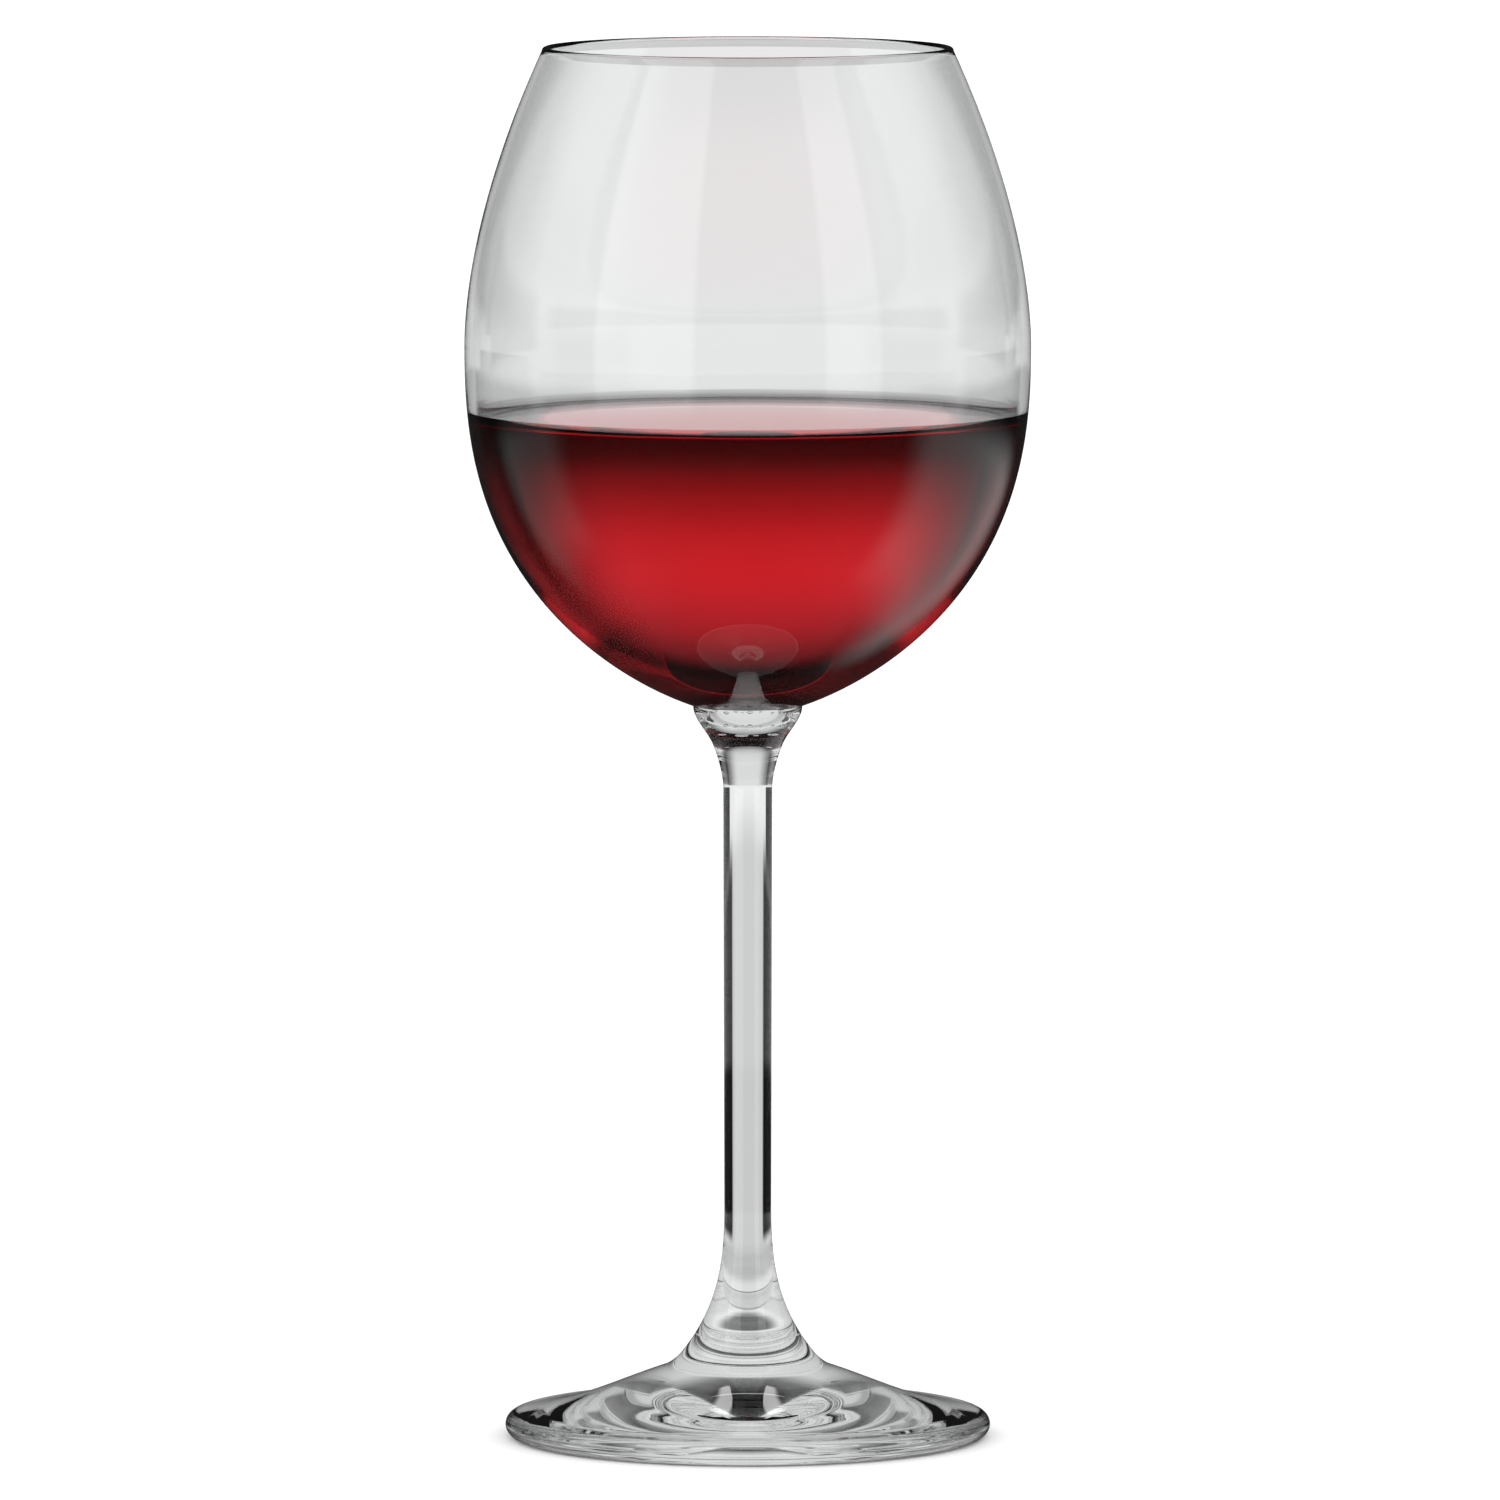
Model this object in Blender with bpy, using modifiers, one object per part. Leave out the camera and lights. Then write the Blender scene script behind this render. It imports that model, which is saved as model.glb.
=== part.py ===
"""A stemmed wine glass with a pour of red wine.

The glass is three gathers of clear glass, each turned about the Z axis: a tulip bowl drawn in
towards its rim, a stem that flares at both ends, and a conical foot with a rounded edge. The
stem's upper end cups the underside of the bowl, and its lower end is a rounded boss seated in a
dish in the foot's hub. The wine fills the bottom of the bowl up to a flat level.

All sizes are in metres. The origin is at the centre of the resting plane, with +Z up the stem.
Heights stack up from that plane, so a longer piece lifts everything above it.
"""
import math

import bpy

# Foot
FOOT_RADIUS = 0.0361
FOOT_EDGE_THICKNESS = 0.0035
HUB_RADIUS = 0.0114          # where the sloping top of the foot meets the flare of the stem
HUB_HEIGHT = 0.0107
CONE_SAG = 0.0009            # how far the sloping top dips, two thirds of the way out
DIP_SCALE = 27 / 4           # makes t * t * (1 - t) reach 1 at t = 2/3
CROWN_HEIGHT = 0.0046        # from the hub's corner up to the edge of the stem joint
SEAT_DEPTH = 0.0030          # how far the stem's rounded end sinks into the hub
RING_WIDTH = 0.0044          # the flat ring that the glass stands on
DOME_RISE = 0.0026           # the hollow under the middle of the foot

# Stem
LOWER_FLARE_LENGTH = 0.0253  # from the hub's corner up to the plain shaft
LOWER_FLARE_BEND = 3.0       # a higher power keeps the flare slim for longer
SHAFT_LENGTH = 0.0590
SHAFT_LOWER_RADIUS = 0.00350
SHAFT_UPPER_RADIUS = 0.00365
UPPER_FLARE_LENGTH = 0.0124  # from the plain shaft up to the bottom of the bowl
UPPER_FLARE_BEND = 2.0
UPPER_FLARE_RADIUS = 0.0081

# Bowl
BELLY_RADIUS = 0.0420
BELLY_RISE = 0.0556          # from the bottom of the bowl up to its widest point
RIM_RADIUS = 0.0305
RIM_RISE = 0.0440            # from the widest point up to the top of the rim
BELLY_FULLNESS = 2.50        # a higher power keeps the wall upright further below the belly
BASE_ROUNDING = 1.56         # 2 is an oval base, and a lower power a more pointed one
SHOULDER_BEND = 1.73         # how late the wall draws in above the belly
WALL = 0.0012
FLOOR = 0.0026               # thickness at the bottom of the bowl

# Wine
WINE_DEPTH = 0.0418          # from the inner floor of the bowl up to the level

# Fits
JOINT_GAP = 0.0003           # between the stem and each piece that it joins
WINE_GAP = 0.0003            # between the wine and the wall

# Smoothness of the turned surfaces
TURN_STEPS = 40
LOWER_WALL_STEPS = 13
UPPER_WALL_STEPS = 7
LIP_STEPS = 4
FLARE_STEPS = 8
SEAT_STEPS = 4
HUB_STEPS = 3
CONE_STEPS = 6
EDGE_STEPS = 7
DOME_STEPS = 4
MERGE_DISTANCE = 0.00001

# Heights above the resting plane
SEAT_Z = HUB_HEIGHT + CROWN_HEIGHT
SHAFT_BOTTOM_Z = HUB_HEIGHT + LOWER_FLARE_LENGTH
SHAFT_TOP_Z = SHAFT_BOTTOM_Z + SHAFT_LENGTH
BOWL_BOTTOM_Z = SHAFT_TOP_Z + UPPER_FLARE_LENGTH
BELLY_Z = BOWL_BOTTOM_Z + BELLY_RISE
RIM_Z = BELLY_Z + RIM_RISE
LIP_Z = RIM_Z - WALL / 2     # where the wall ends and the rounded lip begins
WINE_BOTTOM_Z = BOWL_BOTTOM_Z + FLOOR + WINE_GAP
WINE_LEVEL_Z = BOWL_BOTTOM_Z + FLOOR + WINE_DEPTH

CLEAR_GLASS = (0.92, 0.94, 0.94, 1.0)
RED_WINE = (0.16, 0.004, 0.018, 1.0)


def fractions(steps):
    """Evenly spaced values from 0 to 1."""
    return [step / steps for step in range(steps + 1)]


def wall_radius(z, bottom_z, inset):
    """Radius at height z of a surface of the bowl, inset from the outside, closing at bottom_z."""
    belly = BELLY_RADIUS - inset
    if z >= BELLY_Z:
        rise = (z - BELLY_Z) / (LIP_Z - BELLY_Z)
        return belly - (BELLY_RADIUS - RIM_RADIUS) * rise ** SHOULDER_BEND
    drop = min((BELLY_Z - z) / (BELLY_Z - bottom_z), 1.0)
    return belly * (1 - drop ** BELLY_FULLNESS) ** (1 / BASE_ROUNDING)


def wall_points(bottom_z, inset, top_z):
    """Points up a surface of the bowl, from the axis at bottom_z to the height top_z."""
    depth = BELLY_Z - bottom_z
    turn_z = min(BELLY_Z, top_z)
    turn_angle = math.acos((BELLY_Z - turn_z) / depth)
    heights = [BELLY_Z - depth * math.cos(t * turn_angle) for t in fractions(LOWER_WALL_STEPS)]
    heights[-1] = turn_z
    if top_z > BELLY_Z:
        heights += [BELLY_Z + t * (top_z - BELLY_Z) for t in fractions(UPPER_WALL_STEPS)[1:]]
    return [(0.0, bottom_z)] + [(wall_radius(z, bottom_z, inset), z) for z in heights[1:]]


def underside_z(radius):
    """Height of the bowl's underside at a radius from the axis."""
    drop = (1 - (radius / BELLY_RADIUS) ** BASE_ROUNDING) ** (1 / BELLY_FULLNESS)
    return BELLY_Z - (BELLY_Z - BOWL_BOTTOM_Z) * drop


def neck_radius(z):
    """Radius of the flare that runs from the plain shaft down over the joint to the hub's corner."""
    drop = (SHAFT_BOTTOM_Z - z) / LOWER_FLARE_LENGTH
    return SHAFT_LOWER_RADIUS + (HUB_RADIUS - SHAFT_LOWER_RADIUS) * drop ** LOWER_FLARE_BEND


def seat_points(edge_z):
    """Points of the dished joint in the hub, from the axis out to its edge on the neck at edge_z."""
    edge_radius = neck_radius(edge_z)
    return [(t * edge_radius, edge_z - SEAT_DEPTH * (1 - t * t)) for t in fractions(SEAT_STEPS)]


def bowl_profile():
    """Up the inner wall from the axis, over the lip and down the outer wall to the axis."""
    inner = wall_points(BOWL_BOTTOM_Z + FLOOR, WALL, LIP_Z)
    outer = wall_points(BOWL_BOTTOM_Z, 0.0, LIP_Z)
    lip_centre = RIM_RADIUS - WALL / 2
    lip = []
    for t in fractions(LIP_STEPS)[1:-1]:
        angle = math.pi * (1 - t)
        lip.append((lip_centre + WALL / 2 * math.cos(angle), LIP_Z + WALL / 2 * math.sin(angle)))
    return inner + lip + outer[::-1]


def stem_profile():
    """Out along the cup under the bowl, down the stem, and in along its rounded lower end."""
    cup_radii = [t * UPPER_FLARE_RADIUS for t in fractions(SEAT_STEPS)]
    cup = [(radius, underside_z(radius) - JOINT_GAP) for radius in cup_radii]
    lip_z = cup[-1][1]
    upper_flare = []
    for t in fractions(FLARE_STEPS)[1:]:
        spread = (UPPER_FLARE_RADIUS - SHAFT_UPPER_RADIUS) * (1 - t) ** UPPER_FLARE_BEND
        upper_flare.append((SHAFT_UPPER_RADIUS + spread, lip_z - t * (lip_z - SHAFT_TOP_Z)))
    end_z = SEAT_Z + JOINT_GAP
    heights = [SHAFT_BOTTOM_Z - t * (SHAFT_BOTTOM_Z - end_z) for t in fractions(FLARE_STEPS)]
    lower_flare = [(neck_radius(z), z) for z in heights]
    boss = seat_points(end_z)[-2::-1]
    return cup + upper_flare + lower_flare + boss


def foot_profile():
    """Out along the dish in the hub, down the sloping top, round the edge and in underneath."""
    heights = [SEAT_Z - t * CROWN_HEIGHT for t in fractions(HUB_STEPS)[1:]]
    hub = [(neck_radius(z), z) for z in heights]
    edge_radius = FOOT_EDGE_THICKNESS / 2
    centre_radius = FOOT_RADIUS - edge_radius
    run = centre_radius - HUB_RADIUS
    fall = HUB_HEIGHT - edge_radius
    slope = math.atan2(fall, run) - math.asin(edge_radius / math.hypot(run, fall))
    first_angle = math.pi / 2 - slope
    edge = []
    for t in fractions(EDGE_STEPS):
        angle = first_angle - t * (first_angle + math.pi / 2)
        radius = centre_radius + edge_radius * math.cos(angle)
        edge.append((radius, edge_radius * (1 + math.sin(angle))))
    edge[-1] = (centre_radius, 0.0)
    cone_radius, cone_z = edge[0]
    cone = []
    for t in fractions(CONE_STEPS)[1:-1]:
        dip = CONE_SAG * DIP_SCALE * t * t * (1 - t)
        z = HUB_HEIGHT + t * (cone_z - HUB_HEIGHT) - dip
        cone.append((HUB_RADIUS + t * (cone_radius - HUB_RADIUS), z))
    dome_radius = centre_radius - RING_WIDTH
    dome = [(t * dome_radius, DOME_RISE * (1 - t * t)) for t in fractions(DOME_STEPS)]
    return seat_points(SEAT_Z) + hub + cone + edge + dome[::-1]


def wine_profile():
    """Out across the flat level and down the side of the wine to the axis."""
    side = wall_points(WINE_BOTTOM_Z, WALL + WINE_GAP, WINE_LEVEL_Z)
    return [(0.0, WINE_LEVEL_Z)] + side[::-1]


def turned_mesh(name, profile):
    """A mesh holding the profile as a line in the XZ plane, for the Screw modifier to turn."""
    mesh = bpy.data.meshes.new(name)
    points = [(radius, 0.0, z) for radius, z in profile]
    edges = [(i, i + 1) for i in range(len(points) - 1)]
    mesh.from_pydata(points, edges, [])
    return mesh


def turned_object(name, profile, material, collection):
    """One turned piece, named for its node, with its own material."""
    piece = bpy.data.objects.new(name, turned_mesh(name, profile))
    collection.objects.link(piece)
    piece.data.materials.append(material)
    screw = piece.modifiers.new("turn", "SCREW")
    screw.axis = "Z"
    screw.angle = math.tau
    screw.steps = TURN_STEPS
    screw.render_steps = TURN_STEPS
    screw.use_merge_vertices = True
    screw.merge_threshold = MERGE_DISTANCE
    screw.use_smooth_shade = True
    return piece


def principled(name, color, roughness, transmission, ior):
    """A see-through, non-metallic material."""
    material = bpy.data.materials.new(name)
    material.use_nodes = True
    material.diffuse_color = color
    shader = material.node_tree.nodes["Principled BSDF"]
    shader.inputs["Base Color"].default_value = color
    shader.inputs["Metallic"].default_value = 0.0
    shader.inputs["Roughness"].default_value = roughness
    shader.inputs["Transmission Weight"].default_value = transmission
    shader.inputs["IOR"].default_value = ior
    return material


def main():
    """Empty the scene and model the glass."""
    for old in list(bpy.data.objects):
        bpy.data.objects.remove(old, do_unlink=True)
    glass = bpy.data.collections.new("wine_glass")
    bpy.context.scene.collection.children.link(glass)
    bowl_glass = principled("bowl_glass", CLEAR_GLASS, 0.02, 1.0, 1.52)
    stem_glass = principled("stem_glass", CLEAR_GLASS, 0.02, 1.0, 1.52)
    foot_glass = principled("foot_glass", CLEAR_GLASS, 0.03, 1.0, 1.52)
    red_wine = principled("red_wine", RED_WINE, 0.03, 0.6, 1.34)
    turned_object("bowl", bowl_profile(), bowl_glass, glass)
    turned_object("stem", stem_profile(), stem_glass, glass)
    turned_object("foot", foot_profile(), foot_glass, glass)
    turned_object("wine", wine_profile(), red_wine, glass)


main()
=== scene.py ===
"""The looks of the wine glass: clear blown glass, red wine, and a plain white studio.

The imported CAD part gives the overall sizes. Every visible piece here is a smooth turned surface
that stands for one CAD node, with the fused joints, the fine bubbles and the wine's curled edge
that the plain solids leave out.
"""

import math

import bmesh
import bpy
from mathutils import Matrix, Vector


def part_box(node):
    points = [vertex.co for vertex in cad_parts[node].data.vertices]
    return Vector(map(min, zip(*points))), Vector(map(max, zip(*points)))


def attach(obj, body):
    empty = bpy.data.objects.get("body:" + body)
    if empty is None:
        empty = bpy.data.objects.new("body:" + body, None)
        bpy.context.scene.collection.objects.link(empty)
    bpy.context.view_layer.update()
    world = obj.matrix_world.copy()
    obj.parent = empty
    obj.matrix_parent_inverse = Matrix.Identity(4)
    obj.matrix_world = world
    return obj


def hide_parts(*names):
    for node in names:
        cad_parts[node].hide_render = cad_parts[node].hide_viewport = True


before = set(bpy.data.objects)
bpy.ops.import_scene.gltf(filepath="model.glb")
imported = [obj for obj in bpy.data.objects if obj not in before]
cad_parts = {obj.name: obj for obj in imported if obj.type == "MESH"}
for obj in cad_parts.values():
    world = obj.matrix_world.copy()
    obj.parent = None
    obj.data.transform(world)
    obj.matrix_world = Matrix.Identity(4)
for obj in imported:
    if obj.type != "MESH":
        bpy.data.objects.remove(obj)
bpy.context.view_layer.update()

# Sizes read from the frame, in metres
BOWL_LOW, BOWL_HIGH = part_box("bowl")
_, STEM_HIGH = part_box("stem")
_, FOOT_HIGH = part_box("foot")
_, WINE_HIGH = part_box("wine")
BELLY_RADIUS = BOWL_HIGH.x
BOWL_BOTTOM = BOWL_LOW.z
RIM_HEIGHT = BOWL_HIGH.z
FOOT_RADIUS = FOOT_HIGH.x
FLARE_RADIUS = STEM_HIGH.x
SEAT_HEIGHT = FOOT_HIGH.z
WINE_LEVEL = WINE_HIGH.z

# Shape of the glass as in the CAD, in metres
BELLY_HEIGHT = 0.1630
RIM_RADIUS = 0.0305
BELLY_FULLNESS = 2.50        # a higher power keeps the wall upright further below the belly
BASE_ROUNDING = 1.56         # 2 is an oval base, and a lower power a more pointed one
SHOULDER_BEND = 1.73         # how late the wall draws in above the belly
WALL = 0.0012
FLOOR = 0.0026               # thickness at the bottom of the bowl
LIP_HEIGHT = RIM_HEIGHT - WALL / 2
INNER_BOTTOM = BOWL_BOTTOM + FLOOR
SHAFT_BOTTOM = 0.0360
SHAFT_UPPER_RADIUS = 0.00365
SHAFT_LOWER_RADIUS = 0.00350
LOWER_FLARE_BEND = 3.0       # a higher power keeps the flare slim for longer
HUB_RADIUS = 0.0114
HUB_HEIGHT = 0.0107
SEAT_DEPTH = 0.0030          # how far the stem's rounded end sinks into the hub
FOOT_EDGE_THICKNESS = 0.0035
RING_WIDTH = 0.0044          # the flat ring that the glass stands on
DOME_RISE = 0.0026           # the hollow under the middle of the foot
CONE_SAG = 0.0009            # how far the sloping top of the foot dips, two thirds of the way out
DIP_SCALE = 27 / 4           # makes t * t * (1 - t) reach 1 at t = 2/3

# The upper flare is drawn out more finely than in the CAD: it starts 2 mm higher up the shaft,
# opens more evenly and swells at the top, where it was pressed onto the bowl
SHAFT_TOP = 0.0970
UPPER_FLARE_BEND = 1.65
LIP_BULGE = 0.00055
LIP_BULGE_SPAN = 0.0058      # how far below the top the swelling dies away

# What the plain solids leave out, in metres
FUSED_GAP = 0.00002          # left between two fused pieces of glass
WINE_GAP = 0.00002           # left between the wine and the wall
FILM_RADIUS = 0.0080         # of the thin film of air trapped in the joint under the bowl
MENISCUS_RISE = 0.0014       # how far the wine climbs the wall
MENISCUS_WIDTH = 0.0006      # how quickly the climb dies away from the wall
MENISCUS_REACH = 5 * MENISCUS_WIDTH
HUB_SOFTENING = 0.0018       # how far the rounding of the corner round the hub reaches

# Fine bubbles trapped in a ring just under the bowl, in metres
BUBBLE_COUNT = 22
BUBBLE_RING = 0.0046
BUBBLE_HEIGHT = 0.1071
BUBBLE_RADIUS = 0.00022
BUBBLE_STRETCH = (1.0, 1.5, 0.8, 1.0)     # towards the axis, along the ring and upwards
# How far each one strays from an even ring, and how fast the straying changes along it
BUBBLE_PLACE_STRAY = (0.3, 5.1)           # in shares of the space between two
BUBBLE_SIZE_STRAY = (0.45, 2.3)           # in shares of the radius
BUBBLE_HEIGHT_STRAY = (0.00012, 3.7)

# How finely the outlines are divided
TURN_STEPS = 256
WALL_STEPS = 80
DRY_WALL_STEPS = 40
LIP_STEPS = 12
FILM_STEPS = 24
CUP_STEPS = 12
FLARE_STEPS = 40
SEAT_STEPS = 16
HUB_STEPS = 16
CORNER_STEPS = 16
CONE_STEPS = 40
EDGE_STEPS = 28
DOME_STEPS = 40
LEVEL_STEPS = 10
MENISCUS_STEPS = 40
SAME_POINT = 1e-7            # two points closer than this are one
SHARP_ANGLE = math.radians(35)

# Materials
GLASS_IOR = 1.52
WINE_IOR = 1.34
GLASS_COLOR = (0.95, 0.96, 0.96)
GLASS_TINTS = ((0.945, 0.958, 0.955), (0.955, 0.962, 0.965))
WAVE_RATE = 20               # radians that the wave texture turns through in a unit, at scale 1
# Painted shade on the wetted inside of the bowl, over a stretch that starts in the meniscus: each
# place
# # as a share of the way down it, and the share of the light that passes there
PAINTED_SHADE_TOP = WINE_LEVEL + 0.0009
PAINTED_SHADE_DEPTH = 0.0200
WETTED_PAINTED_SHADES = [(0.0, 0.99), (0.05, 0.04), (0.14, 0.06), (0.22, 0.09), (0.77, 0.92), (1.0, 0.99)]


def fractions(steps):
    """Evenly spaced values from 0 to 1."""
    return [step / steps for step in range(steps + 1)]


# ---------------------------------------------------------------- outlines

def wall_radius(z, bottom, inset):
    """Radius at height z of a surface of the bowl, inset from the outside, closing at bottom."""
    belly = BELLY_RADIUS - inset
    if z >= BELLY_HEIGHT:
        rise = (z - BELLY_HEIGHT) / (LIP_HEIGHT - BELLY_HEIGHT)
        return belly - (BELLY_RADIUS - RIM_RADIUS) * rise ** SHOULDER_BEND
    drop = min((BELLY_HEIGHT - z) / (BELLY_HEIGHT - bottom), 1.0)
    return belly * (1 - drop ** BELLY_FULLNESS) ** (1 / BASE_ROUNDING)


def wall_height(radius, bottom, inset):
    """Height below the belly at which a surface of the bowl has this radius."""
    across = (1 - (radius / (BELLY_RADIUS - inset)) ** BASE_ROUNDING) ** (1 / BELLY_FULLNESS)
    return BELLY_HEIGHT - (BELLY_HEIGHT - bottom) * across


def wall_points(bottom, inset, low, high, steps):
    """Points up a surface of the bowl between two heights, closer together near the bottom."""
    depth = BELLY_HEIGHT - bottom
    first = math.acos(min((BELLY_HEIGHT - low) / depth, 1.0))
    last = math.acos((BELLY_HEIGHT - min(high, BELLY_HEIGHT)) / depth)
    angles = [first + t * (last - first) for t in fractions(steps)]
    heights = [BELLY_HEIGHT - depth * math.cos(angle) for angle in angles]
    if high > BELLY_HEIGHT:
        heights += [BELLY_HEIGHT + t * (high - BELLY_HEIGHT) for t in fractions(steps)[1:]]
    return [(wall_radius(z, bottom, inset), z) for z in heights]


def neck_radius(z):
    """Radius of the flare that runs from the plain shaft down over the joint to the hub's corner."""
    drop = (SHAFT_BOTTOM - z) / (SHAFT_BOTTOM - HUB_HEIGHT)
    return SHAFT_LOWER_RADIUS + (HUB_RADIUS - SHAFT_LOWER_RADIUS) * drop ** LOWER_FLARE_BEND


def seat_points(edge_height):
    """Points of the dished joint in the hub, from the axis out to its edge on the neck."""
    edge_radius = neck_radius(edge_height)
    return [(t * edge_radius, edge_height - SEAT_DEPTH * (1 - t * t)) for t in fractions(SEAT_STEPS)]


def joined(*runs):
    """One outline and the zone of each of its segments, from runs of (zone, points)."""
    outline, zones = [], []
    for zone, points in runs:
        for point in points:
            if outline and math.dist(outline[-1], point) < SAME_POINT:
                continue
            if outline:
                zones.append(zone)
            outline.append(point)
    return outline, zones


def softened(first, second, reach):
    """Two runs that share a corner, with the corner replaced by a curve that starts reach away."""
    corner = first[-1]
    before = [point for point in first if math.dist(point, corner) > reach]
    after = [point for point in second if math.dist(point, corner) > reach]
    start, end = before[-1], after[0]
    controls = (start, corner, end)
    curve = []
    for t in fractions(CORNER_STEPS):
        weights = ((1 - t) ** 2, 2 * t * (1 - t), t ** 2)
        curve.append(tuple(sum(w * p[k] for w, p in zip(weights, controls)) for k in (0, 1)))
    return before + curve[1:-1], [curve[-2]] + after


# ---------------------------------------------------------------- turned meshes

def turned(name, outline, zones, materials):
    """A smooth mesh turned about the Z axis, from an outline that runs down its outer side."""
    angles = [math.tau * step / TURN_STEPS for step in range(TURN_STEPS)]
    points, rings, faces, face_zones = [], [], [], []
    for radius, z in outline:
        if radius < SAME_POINT:
            rings.append([len(points)] * TURN_STEPS)
            points.append((0.0, 0.0, z))
        else:
            rings.append(list(range(len(points), len(points) + TURN_STEPS)))
            points.extend((radius * math.cos(a), radius * math.sin(a), z) for a in angles)
    for zone, upper, lower in zip(zones, rings, rings[1:]):
        for step in range(TURN_STEPS):
            after = (step + 1) % TURN_STEPS
            corners = [upper[step], lower[step], lower[after], upper[after]]
            faces.append(list(dict.fromkeys(corners)))
            face_zones.append(zone)
    mesh = bpy.data.meshes.new(name)
    mesh.from_pydata(points, [], faces)
    for material in materials:
        mesh.materials.append(material)
    mesh.polygons.foreach_set("material_index", face_zones)
    mesh.shade_smooth()
    mesh.set_sharp_from_angle(angle=SHARP_ANGLE)
    piece = bpy.data.objects.new(name, mesh)
    bpy.context.scene.collection.objects.link(piece)
    return piece


def stand_for(piece, node):
    """The piece rides on the glass in place of its CAD node."""
    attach(piece, "root")
    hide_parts(node)


# ---------------------------------------------------------------- materials

def new_material(name, color, ior):
    """A smooth see-through material around one Principled shader."""
    material = bpy.data.materials.new(name)
    material.use_nodes = True
    shader = material.node_tree.nodes["Principled BSDF"]
    shader.inputs["Base Color"].default_value = (*color, 1.0)
    shader.inputs["Roughness"].default_value = 0.0
    shader.inputs["Transmission Weight"].default_value = 1.0
    shader.inputs["IOR"].default_value = ior
    return material, shader


def noise(material, scale):
    """The output of a noise texture in the glass's own metres."""
    nodes, links = material.node_tree.nodes, material.node_tree.links
    place = nodes.new("ShaderNodeTexCoord")
    texture = nodes.new("ShaderNodeTexNoise")
    texture.inputs["Scale"].default_value = scale
    texture.inputs["Detail"].default_value = 2.0
    links.new(place.outputs["Object"], texture.inputs["Vector"])
    return texture.outputs["Fac"]


def rings(material, spacing, distortion):
    """Rings round the axis, a set distance apart, as a turned or spun piece of glass carries."""
    nodes, links = material.node_tree.nodes, material.node_tree.links
    place = nodes.new("ShaderNodeTexCoord")
    texture = nodes.new("ShaderNodeTexWave")
    texture.wave_type = "RINGS"
    texture.rings_direction = "Z"
    texture.inputs["Scale"].default_value = math.tau / (WAVE_RATE * spacing)
    texture.inputs["Distortion"].default_value = distortion
    texture.inputs["Detail"].default_value = 1.0
    links.new(place.outputs["Object"], texture.inputs["Vector"])
    return texture.outputs["Fac"]


def add_bump(material, shader, heights, depth, strength):
    """Let a texture raise and lower the surface by up to depth, in metres."""
    bump = material.node_tree.nodes.new("ShaderNodeBump")
    bump.inputs["Distance"].default_value = depth
    bump.inputs["Strength"].default_value = strength
    material.node_tree.links.new(heights, bump.inputs["Height"])
    material.node_tree.links.new(bump.outputs["Normal"], shader.inputs["Normal"])


def add_tint(material, shader, shares, first, second):
    """Vary the colour between two close shades."""
    shade = material.node_tree.nodes.new("ShaderNodeValToRGB")
    shade.color_ramp.elements[0].position = 0.35
    shade.color_ramp.elements[0].color = (*first, 1.0)
    shade.color_ramp.elements[1].position = 0.65
    shade.color_ramp.elements[1].color = (*second, 1.0)
    material.node_tree.links.new(shares, shade.inputs["Fac"])
    material.node_tree.links.new(shade.outputs["Color"], shader.inputs["Base Color"])


def clear_glass():
    """Clear soda glass, with the faint waves and the faint change of tint that blown glass has."""
    material, shader = new_material("clear_glass", GLASS_COLOR, GLASS_IOR)
    add_bump(material, shader, noise(material, scale=40.0), depth=0.0004, strength=0.10)
    add_tint(material, shader, noise(material, scale=25.0), *GLASS_TINTS)
    return material


def foot_glass():
    """The same glass with the faint rings that spinning leaves on the foot."""
    material, shader = new_material("foot_glass", GLASS_COLOR, GLASS_IOR)
    turning = rings(material, spacing=0.0024, distortion=0.3)
    add_bump(material, shader, turning, depth=0.0001, strength=0.01)
    add_tint(material, shader, noise(material, scale=25.0), *GLASS_TINTS)
    return material


def wetted_glass_painted_shade():
    """The inside of the bowl where wine lies against it, with painted shade: darker towards the
    wine's level.
    """
    material, shader = new_material("wetted_glass_painted_shade", GLASS_COLOR, GLASS_IOR / WINE_IOR)
    nodes, links = material.node_tree.nodes, material.node_tree.links
    place = nodes.new("ShaderNodeTexCoord")
    split = nodes.new("ShaderNodeSeparateXYZ")
    links.new(place.outputs["Object"], split.inputs[0])
    depth = nodes.new("ShaderNodeMapRange")
    depth.inputs["From Min"].default_value = PAINTED_SHADE_TOP
    depth.inputs["From Max"].default_value = PAINTED_SHADE_TOP - PAINTED_SHADE_DEPTH
    links.new(split.outputs["Z"], depth.inputs["Value"])
    # Painted shade: a dark band in the wall's colour just under the wine's level, lighter further
    # down
    shade = nodes.new("ShaderNodeValToRGB")
    stops = shade.color_ramp.elements
    for way_down, _ in WETTED_PAINTED_SHADES[1:-1]:
        stops.new(way_down)
    for stop, (_, share) in zip(stops, WETTED_PAINTED_SHADES):
        stop.color = (share, share, share, 1.0)
    links.new(depth.outputs["Result"], shade.inputs["Fac"])
    links.new(shade.outputs["Color"], shader.inputs["Base Color"])
    return material


def fused_glass():
    """The hidden face where two gathers of glass are fused."""
    material, shader = new_material("fused_glass", (1.0, 1.0, 1.0), 1.01)
    add_tint(material, shader, noise(material, scale=900.0), (0.93, 0.94, 0.94), (1.0, 1.0, 1.0))
    return material


def joint_film_painted_shade():
    """The face of the thin film of air in the joint: a mirror to light that meets it at a low angle,
    with painted shade in its dark colour, which darkens the light that goes through."""
    # Painted shade: the dark colour keeps the wine's red out of the neck and leaves it black
    material, shader = new_material("joint_film_painted_shade", (0.10, 0.10, 0.10), GLASS_IOR)
    add_tint(material, shader, noise(material, scale=700.0), (0.03, 0.03, 0.03), (0.12, 0.12, 0.12))
    return material


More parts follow.
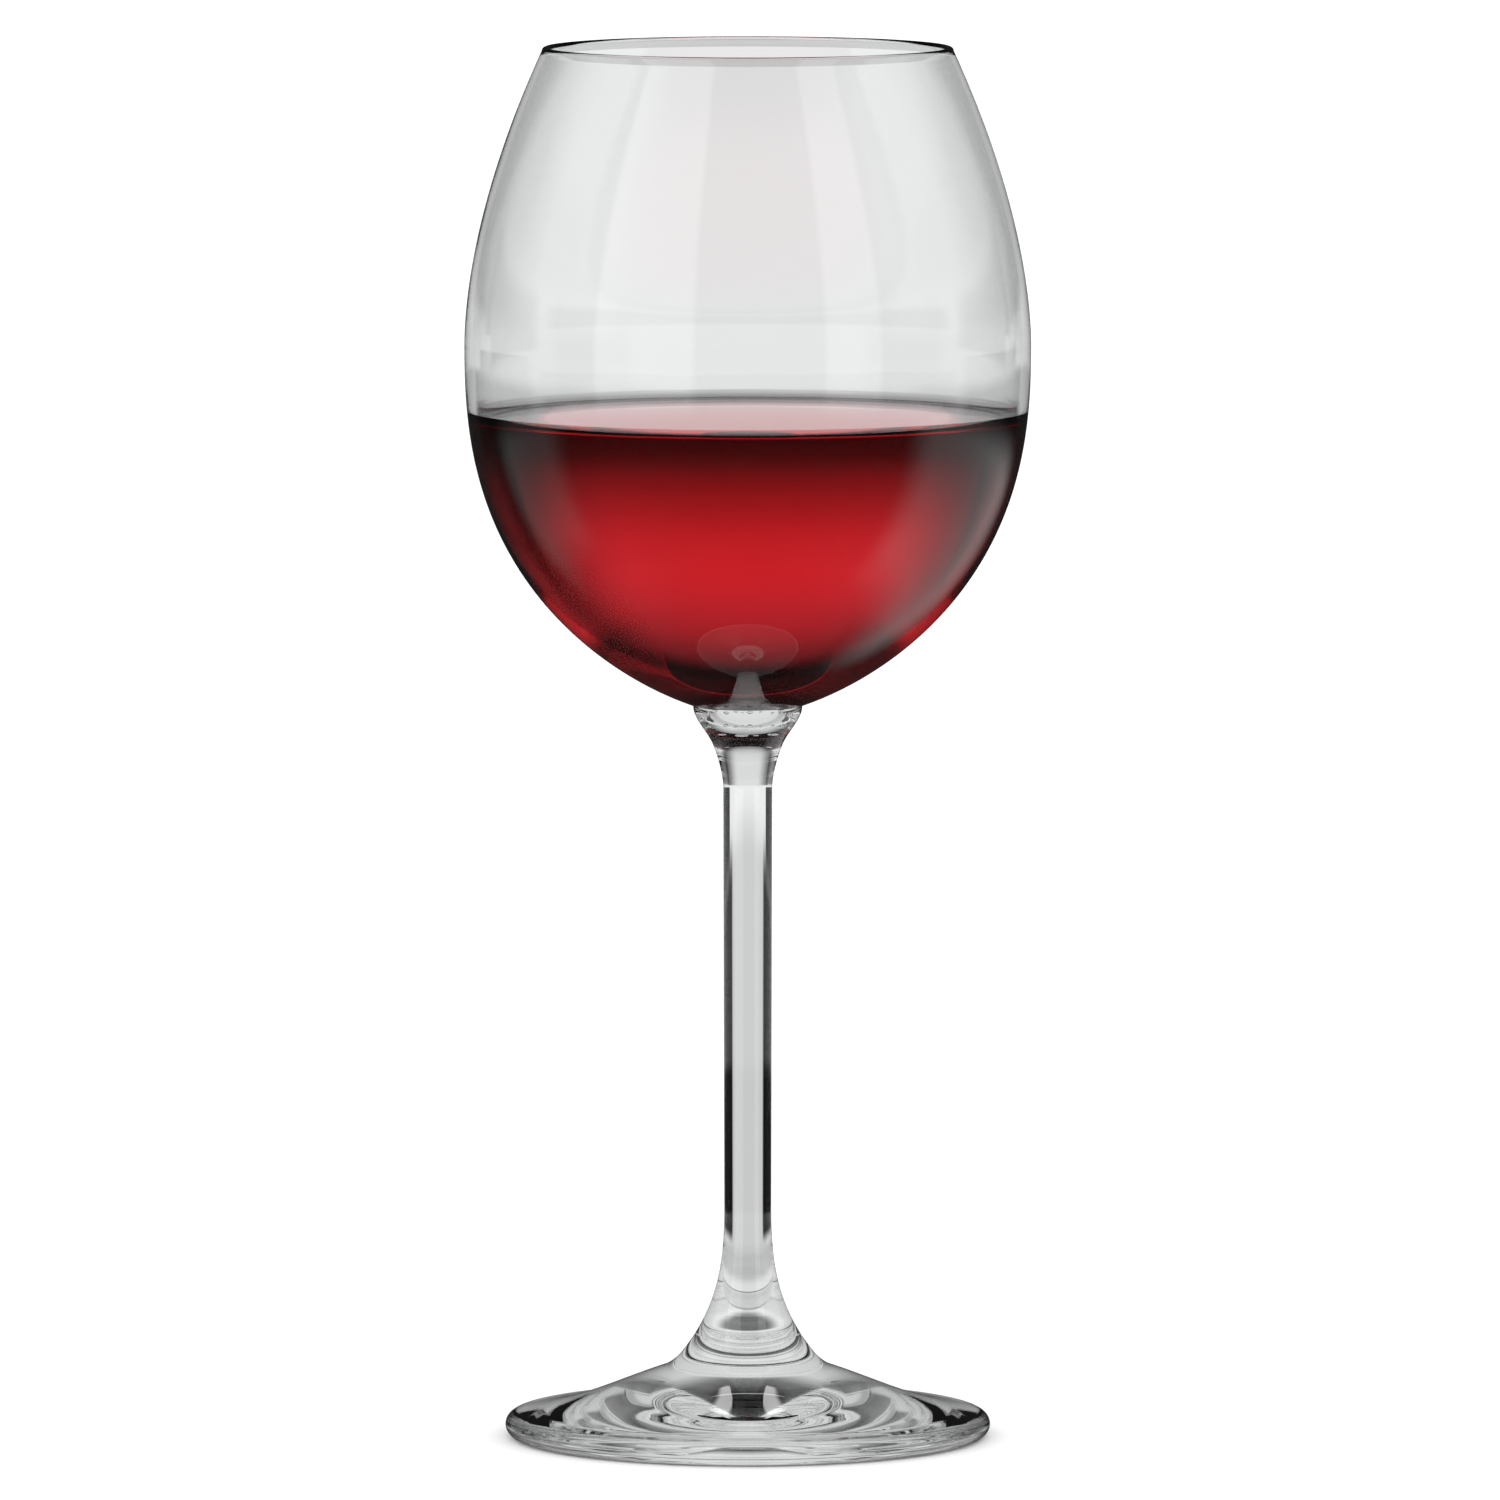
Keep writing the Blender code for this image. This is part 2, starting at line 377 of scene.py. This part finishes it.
def red_wine():
    """The body of the wine, which only takes light away."""
    material, shader = new_material("red_wine", (1.0, 1.0, 1.0), 1.0)
    add_tint(material, shader, noise(material, scale=60.0), (0.96, 0.97, 0.98), (1.0, 1.0, 1.0))
    nodes, links = material.node_tree.nodes, material.node_tree.links
    volume = nodes.new("ShaderNodeVolumeAbsorption")
    volume.inputs["Color"].default_value = (0.97, 0.20, 0.27, 1.0)
    volume.inputs["Density"].default_value = 70.0
    links.new(volume.outputs["Volume"], nodes["Material Output"].inputs["Volume"])
    return material


def wine_surface():
    """The top of the wine, where light bends into it."""
    material, shader = new_material("wine_surface", (1.0, 1.0, 1.0), WINE_IOR)
    add_bump(material, shader, noise(material, scale=90.0), depth=0.0002, strength=0.05)
    return material


# ---------------------------------------------------------------- pieces

def make_bowl(glass, wetted_painted_shade, fused, film_painted_shade):
    """The bowl, from its wetted floor up the inside, over the lip and down to the joint."""
    contact = WINE_LEVEL + MENISCUS_RISE
    wet = wall_points(INNER_BOTTOM, WALL, INNER_BOTTOM, contact, WALL_STEPS)
    dry = wall_points(INNER_BOTTOM, WALL, contact, LIP_HEIGHT, DRY_WALL_STEPS)
    centre = RIM_RADIUS - WALL / 2
    lip = []
    for t in fractions(LIP_STEPS):
        angle = math.pi * (1 - t)
        lip.append((centre + WALL / 2 * math.cos(angle), LIP_HEIGHT + WALL / 2 * math.sin(angle)))
    joint = wall_height(FLARE_RADIUS, BOWL_BOTTOM, 0.0)
    outer = wall_points(BOWL_BOTTOM, 0.0, joint, LIP_HEIGHT, WALL_STEPS)[::-1]
    film = wall_height(FILM_RADIUS, BOWL_BOTTOM, 0.0)
    base = wall_points(BOWL_BOTTOM, 0.0, film, joint, CUP_STEPS)[::-1]
    middle = wall_points(BOWL_BOTTOM, 0.0, BOWL_BOTTOM, film, FILM_STEPS)[::-1]
    outline, zones = joined((1, wet), (0, dry), (0, lip), (0, outer), (2, base), (3, middle))
    piece = turned("bowl_glass", outline, zones, [glass, wetted_painted_shade, fused, film_painted_shade])
    stand_for(piece, "bowl")


def stray(step, how_far, pace):
    """How far one of a row strays, the same way each run."""
    return how_far * math.sin(pace * step)


def add_bubbles(piece):
    """Fine bubbles of air in the glass, as small closed hollows of uneven size."""
    mesh = bmesh.new()
    mesh.from_mesh(piece.data)
    for step in range(BUBBLE_COUNT):
        angle = math.tau * (step + stray(step, *BUBBLE_PLACE_STRAY)) / BUBBLE_COUNT
        radius = BUBBLE_RADIUS * (1.0 + stray(step, *BUBBLE_SIZE_STRAY))
        height = BUBBLE_HEIGHT + stray(step, *BUBBLE_HEIGHT_STRAY)
        place = (BUBBLE_RING * math.cos(angle), BUBBLE_RING * math.sin(angle), height)
        turn = Matrix.Rotation(angle, 4, "Z")
        matrix = Matrix.Translation(place) @ turn @ Matrix.Diagonal(BUBBLE_STRETCH)
        made = bmesh.ops.create_icosphere(mesh, subdivisions=2, radius=radius, matrix=matrix)
        faces = list({face for vertex in made["verts"] for face in vertex.link_faces})
        bmesh.ops.reverse_faces(mesh, faces=faces)
        for face in faces:
            face.smooth = True
    mesh.to_mesh(piece.data)
    mesh.free()


def make_stem(glass, fused, film_painted_shade):
    """The stem, from the cup under the bowl down the flare and the shaft to the boss in the hub."""
    radii = [t * FILM_RADIUS for t in fractions(FILM_STEPS)]
    middle = [(radius, wall_height(radius, BOWL_BOTTOM, 0.0) - FUSED_GAP) for radius in radii]
    radii = [FILM_RADIUS + t * (FLARE_RADIUS - FILM_RADIUS) for t in fractions(CUP_STEPS)]
    cup = [(radius, wall_height(radius, BOWL_BOTTOM, 0.0) - FUSED_GAP) for radius in radii]
    top = cup[-1][1]
    upper = []
    for t in fractions(FLARE_STEPS):
        down = t * (top - SHAFT_TOP)
        spread = (FLARE_RADIUS - SHAFT_UPPER_RADIUS) * (1 - t) ** UPPER_FLARE_BEND
        past_lip = min(down / LIP_BULGE_SPAN, 1.0)
        bulge = LIP_BULGE * DIP_SCALE * past_lip * (1 - past_lip) ** 2
        upper.append((SHAFT_UPPER_RADIUS + spread + bulge, top - down))
    end = SEAT_HEIGHT + FUSED_GAP
    heights = [SHAFT_BOTTOM - t * (SHAFT_BOTTOM - end) for t in fractions(FLARE_STEPS)]
    lower = [(neck_radius(z), z) for z in heights]
    boss = seat_points(end)[::-1]
    outline, zones = joined((2, middle), (1, cup), (0, upper), (0, lower), (1, boss))
    piece = turned("stem_glass", outline, zones, [glass, fused, film_painted_shade])
    add_bubbles(piece)
    stand_for(piece, "stem")


def make_foot(glass, fused):
    """The foot, from the dish in its hub out over the sloping top and the edge to the hollow."""
    dish = seat_points(SEAT_HEIGHT)
    heights = [SEAT_HEIGHT - t * (SEAT_HEIGHT - HUB_HEIGHT) for t in fractions(HUB_STEPS)]
    hub = [(neck_radius(z), z) for z in heights]
    edge_radius = FOOT_EDGE_THICKNESS / 2
    centre = FOOT_RADIUS - edge_radius
    run, fall = centre - HUB_RADIUS, HUB_HEIGHT - edge_radius
    slope = math.atan2(fall, run) - math.asin(edge_radius / math.hypot(run, fall))
    first = math.pi / 2 - slope
    edge = []
    for t in fractions(EDGE_STEPS):
        angle = first - t * (first + math.pi / 2)
        edge.append((centre + edge_radius * math.cos(angle), edge_radius * (1 + math.sin(angle))))
    end_radius, end_height = edge[0]
    cone = []
    for t in fractions(CONE_STEPS):
        straight = HUB_HEIGHT + t * (end_height - HUB_HEIGHT)
        sag = CONE_SAG * DIP_SCALE * t * t * (1 - t)
        cone.append((HUB_RADIUS + t * (end_radius - HUB_RADIUS), straight - sag))
    hub, cone = softened(hub, cone, HUB_SOFTENING)
    ring = centre - RING_WIDTH
    dome = [(t * ring, DOME_RISE * (1 - t * t)) for t in fractions(DOME_STEPS)][::-1]
    outline, zones = joined((1, dish), (0, hub), (0, cone), (0, edge), (0, dome))
    piece = turned("foot_glass", outline, zones, [glass, fused])
    stand_for(piece, "foot")


def surface_points(lift):
    """The top of the wine from the axis to the wall, where it curls up."""
    level = WINE_LEVEL + lift
    edge = wall_radius(WINE_LEVEL + MENISCUS_RISE, INNER_BOTTOM, WALL) - WINE_GAP
    points = [(t * (edge - MENISCUS_REACH), level) for t in fractions(LEVEL_STEPS)]
    for t in fractions(MENISCUS_STEPS)[1:]:
        back = MENISCUS_REACH * (1 - t)
        climb = MENISCUS_RISE * math.exp(-back / MENISCUS_WIDTH)
        points.append((edge - back, level + climb))
    return points


def make_wine(wine, surface):
    """The wine as a body that takes light away, under a surface that bends it."""
    top = surface_points(-WINE_GAP)
    bottom = INNER_BOTTOM + WINE_GAP
    side = wall_points(bottom, WALL + WINE_GAP, bottom, top[-1][1], WALL_STEPS)[::-1]
    outline, zones = joined((0, top), (0, side[1:]))
    body = turned("wine_body", outline, zones, [wine])
    stand_for(body, "wine")
    outline, zones = joined((0, surface_points(0.0)))
    film = turned("wine_surface", outline, zones, [surface])
    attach(film, "root")


# ---------------------------------------------------------------- studio

class Maths:
    """Short names for the math nodes of one node tree."""

    def __init__(self, tree):
        self.tree = tree

    def node(self, operation, *values, clamp=False):
        math_node = self.tree.nodes.new("ShaderNodeMath")
        math_node.operation = operation
        math_node.use_clamp = clamp
        for socket, value in zip(math_node.inputs, values):
            if isinstance(value, (int, float)):
                socket.default_value = value
            else:
                self.tree.links.new(value, socket)
        return math_node.outputs[0]

    def ramp(self, value, start, end):
        """0 at start and 1 at end, smoothed, with start and end in either order."""
        ramp = self.tree.nodes.new("ShaderNodeMapRange")
        ramp.interpolation_type = "SMOOTHSTEP"
        ramp.inputs["From Min"].default_value = start
        ramp.inputs["From Max"].default_value = end
        self.tree.links.new(value, ramp.inputs["Value"])
        return ramp.outputs["Result"]

    def band(self, value, rise_from, rise_to, fall_from, fall_to):
        """1 in the middle of the band, smoothed down to 0 at its ends."""
        above = self.ramp(value, rise_from, rise_to)
        below = self.node("SUBTRACT", 1.0, self.ramp(value, fall_from, fall_to))
        return self.node("MULTIPLY", above, below)


# What light that has come through the glass left behind: a white room, darkened by black cards.
# Bearing off the line straight behind the glass, and elevation, in degrees, each as the four ends
# of a smoothed band, then how much of the light the card stops
ROOM_BRIGHTNESS = 0.92
CARDS = [
    ((-2, -1, 38, 44), (-16, -9, -4.75, -4.35), 0.29),
    ((-2, -1, 181, 182), (-27, -21, -16, -9), 0.42),
    ((-2, -1, 181, 182), (-60, -45, -27, -21), 0.15),
    ((-2, -1, 181, 182), (-2.2, -1.0, 91, 92), 0.14),
    ((27, 32, 74, 82), (-13, -10, -4.8, -4.3), 0.99),
    ((35, 38, 74, 82), (-5, -4.4, -3.6, -3.0), 0.98),
    ((35, 38, 74, 82), (-1, 3, 20, 32), 0.75),
    ((80, 90, 181, 182), (-11, -9, -5.1, -4.8), 0.97),
    ((-2, -1, 75, 95), (11, 42, 91, 92), 0.93),
    ((14, 37, 38, 50), (-1.5, 0, 30, 45), 0.80),
    ((-2, -1, 181, 182), (34, 44, 91, 92), 0.98),
    ((88, 94, 126, 132), (-5, -3, 7, 9), 0.40),
    ((-2, -1, 181, 182), (-91, -90, -72, -56), 0.80),
]

# What the glass mirrors: soft panels in a dim room. Bearing from straight behind the glass,
# + to the right, and elevation, in degrees, each as the four ends of a smoothed band, then
# brightness
DIM_ROOM = 0.02
PANELS = [
    ((-160, -156, -117, -113), (-13, -5, 50, 65), 1.4),
    ((122, 126, 146, 150), (-13, -5, 45, 60), 1.3),
    ((-100, -84, -63, -47), (-45, -30, -14, -8), 0.35),
    ((20, 40, 92, 112), (-60, -40, -14, -8), 0.75),
    ((3, 4, 6.5, 8), (47, 48, 52, 54), 4.0),
    ((-8, -6.5, -4, -3), (47, 48, 52, 54), 4.0),
    ((-135, -115, -80, -60), (-2, 8, 50, 65), 0.8),
    ((60, 80, 110, 130), (-2, 8, 50, 65), 0.8),
    ((-181, -180, 180, 181), (60, 75, 91, 92), 0.8),
]
BACKDROP_BRIGHTNESS = 1.25


def make_world():
    """A plain white backdrop, with the soft light and the dark cards that draw clear glass."""
    world = bpy.data.worlds.new("studio")
    bpy.context.scene.world = world
    world.use_nodes = True
    tree = world.node_tree
    maths = Maths(tree)
    coordinates = tree.nodes.new("ShaderNodeTexCoord")
    split = tree.nodes.new("ShaderNodeSeparateXYZ")
    tree.links.new(coordinates.outputs["Generated"], split.inputs[0])
    bearing = maths.node("DEGREES", maths.node("ARCTAN2", split.outputs["X"], split.outputs["Y"]))
    elevation = maths.node("DEGREES", maths.node("ARCSINE", split.outputs["Z"]))
    off_line = maths.node("ABSOLUTE", bearing)
    through = ROOM_BRIGHTNESS
    for across, up, stopped in CARDS:
        shape = maths.node("MULTIPLY", maths.band(off_line, *across), maths.band(elevation, *up))
        passed = maths.node("SUBTRACT", 1.0, maths.node("MULTIPLY", shape, stopped))
        through = maths.node("MULTIPLY", through, passed)
    mirrored = DIM_ROOM
    for across, up, brightness in PANELS:
        shape = maths.node("MULTIPLY", maths.band(bearing, *across), maths.band(elevation, *up))
        mirrored = maths.node("ADD", mirrored, maths.node("MULTIPLY", shape, brightness))
    paths = tree.nodes.new("ShaderNodeLightPath")
    passing = maths.node("MULTIPLY", through, paths.outputs["Is Transmission Ray"])
    bounced = maths.node("SUBTRACT", 1.0, paths.outputs["Is Transmission Ray"])
    studio = maths.node("ADD", passing, maths.node("MULTIPLY", mirrored, bounced))
    by_glass = paths.outputs["Is Glossy Ray"]
    plain = maths.node("MULTIPLY", BACKDROP_BRIGHTNESS, maths.node("SUBTRACT", 1.0, by_glass))
    background = tree.nodes["Background"]
    background.inputs["Color"].default_value = (1.0, 1.0, 1.0, 1.0)
    strength = maths.node("ADD", plain, maths.node("MULTIPLY", studio, by_glass))
    tree.links.new(strength, background.inputs["Strength"])


def make_floor():
    """A plain pale floor, a hair below the foot."""
    mesh = bpy.data.meshes.new("floor")
    half, drop = 6.0, 0.0001
    corners = [(-half, -half, 0), (half, -half, 0), (half, half, 0), (-half, half, 0)]
    mesh.from_pydata(corners, [], [(0, 1, 2, 3)])
    floor = bpy.data.objects.new("floor", mesh)
    bpy.context.scene.collection.objects.link(floor)
    material = bpy.data.materials.new("pale_floor")
    material.use_nodes = True
    shader = material.node_tree.nodes["Principled BSDF"]
    shader.inputs["Base Color"].default_value = (0.95, 0.95, 0.95, 1.0)
    shader.inputs["Roughness"].default_value = 1.0
    shader.inputs["Specular IOR Level"].default_value = 0.0
    mesh.materials.append(material)
    floor.visible_glossy = False
    floor.visible_transmission = False
    floor.location.z = -drop


def make_camera():
    """A long lens a little above the rim, as in the reference view."""
    data = bpy.data.cameras.new("camera")
    camera = bpy.data.objects.new("camera", data)
    bpy.context.scene.collection.objects.link(camera)
    distance, height, aim = 2.6, 0.345, 0.1025
    camera.location = (0.0, -distance, height)
    pitch = math.atan2(height - aim, distance)
    camera.rotation_euler = (math.pi / 2 - pitch, 0.0, 0.0)
    data.sensor_width = 36.0
    data.shift_x = 0.0015
    data.lens = 422.0
    data.clip_start = 0.1
    data.clip_end = 50.0
    bpy.context.scene.camera = camera


def main():
    scene = bpy.context.scene
    glass, spun, wetted_painted_shade = clear_glass(), foot_glass(), wetted_glass_painted_shade()
    fused, film_painted_shade = fused_glass(), joint_film_painted_shade()
    make_bowl(glass, wetted_painted_shade, fused, film_painted_shade)
    make_stem(glass, fused, film_painted_shade)
    make_foot(spun, fused)
    make_wine(red_wine(), wine_surface())
    make_floor()
    make_world()
    make_camera()
    scene.view_settings.view_transform = "Standard"
    scene.cycles.max_bounces = 32
    scene.cycles.transmission_bounces = 32
    scene.cycles.glossy_bounces = 12
    scene.cycles.diffuse_bounces = 3
    scene.cycles.transparent_max_bounces = 16


main()
